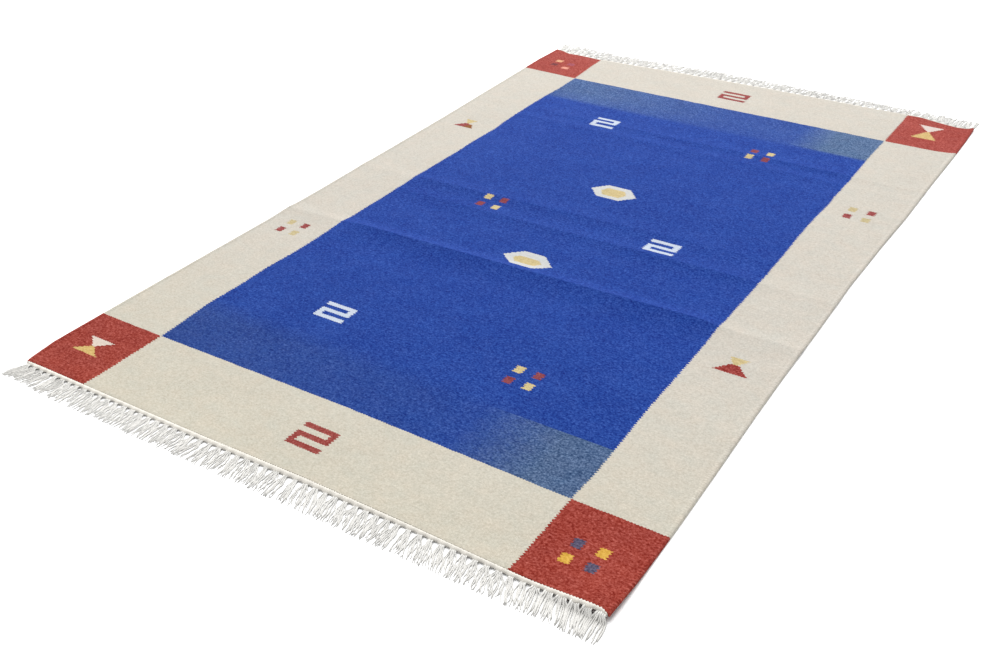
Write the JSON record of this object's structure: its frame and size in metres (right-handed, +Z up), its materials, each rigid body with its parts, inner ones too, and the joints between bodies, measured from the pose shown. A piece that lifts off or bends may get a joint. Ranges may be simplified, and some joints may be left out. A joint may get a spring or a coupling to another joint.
{
  "type": "kilim rug",
  "caption": "Flat-woven rectangular rug with a plain field, wide border, corner squares, small stepped motifs and a cotton fringe in bunches at each end, lying flat with a fold crest across it.",
  "frame": {"origin": "on the floor under the middle of the rug, fringes included", "axes": "+Z up from the floor, +Y along the rug from its near end to its far end, +X across it to the right"},
  "size_m": [1.1656, 1.96, 0.0133],
  "materials": {
    "wool_weave": "matt heathered wool flatweave: royal blue field, natural ecru border, brick red corners",
    "cotton_warp": "matt undyed cotton warp yarn"
  },
  "bodies": {
    "root": {"kilim_cloth": "wool_weave", "near_fringe": "cotton_warp", "far_fringe": "cotton_warp"}
  },
  "joints": []
}
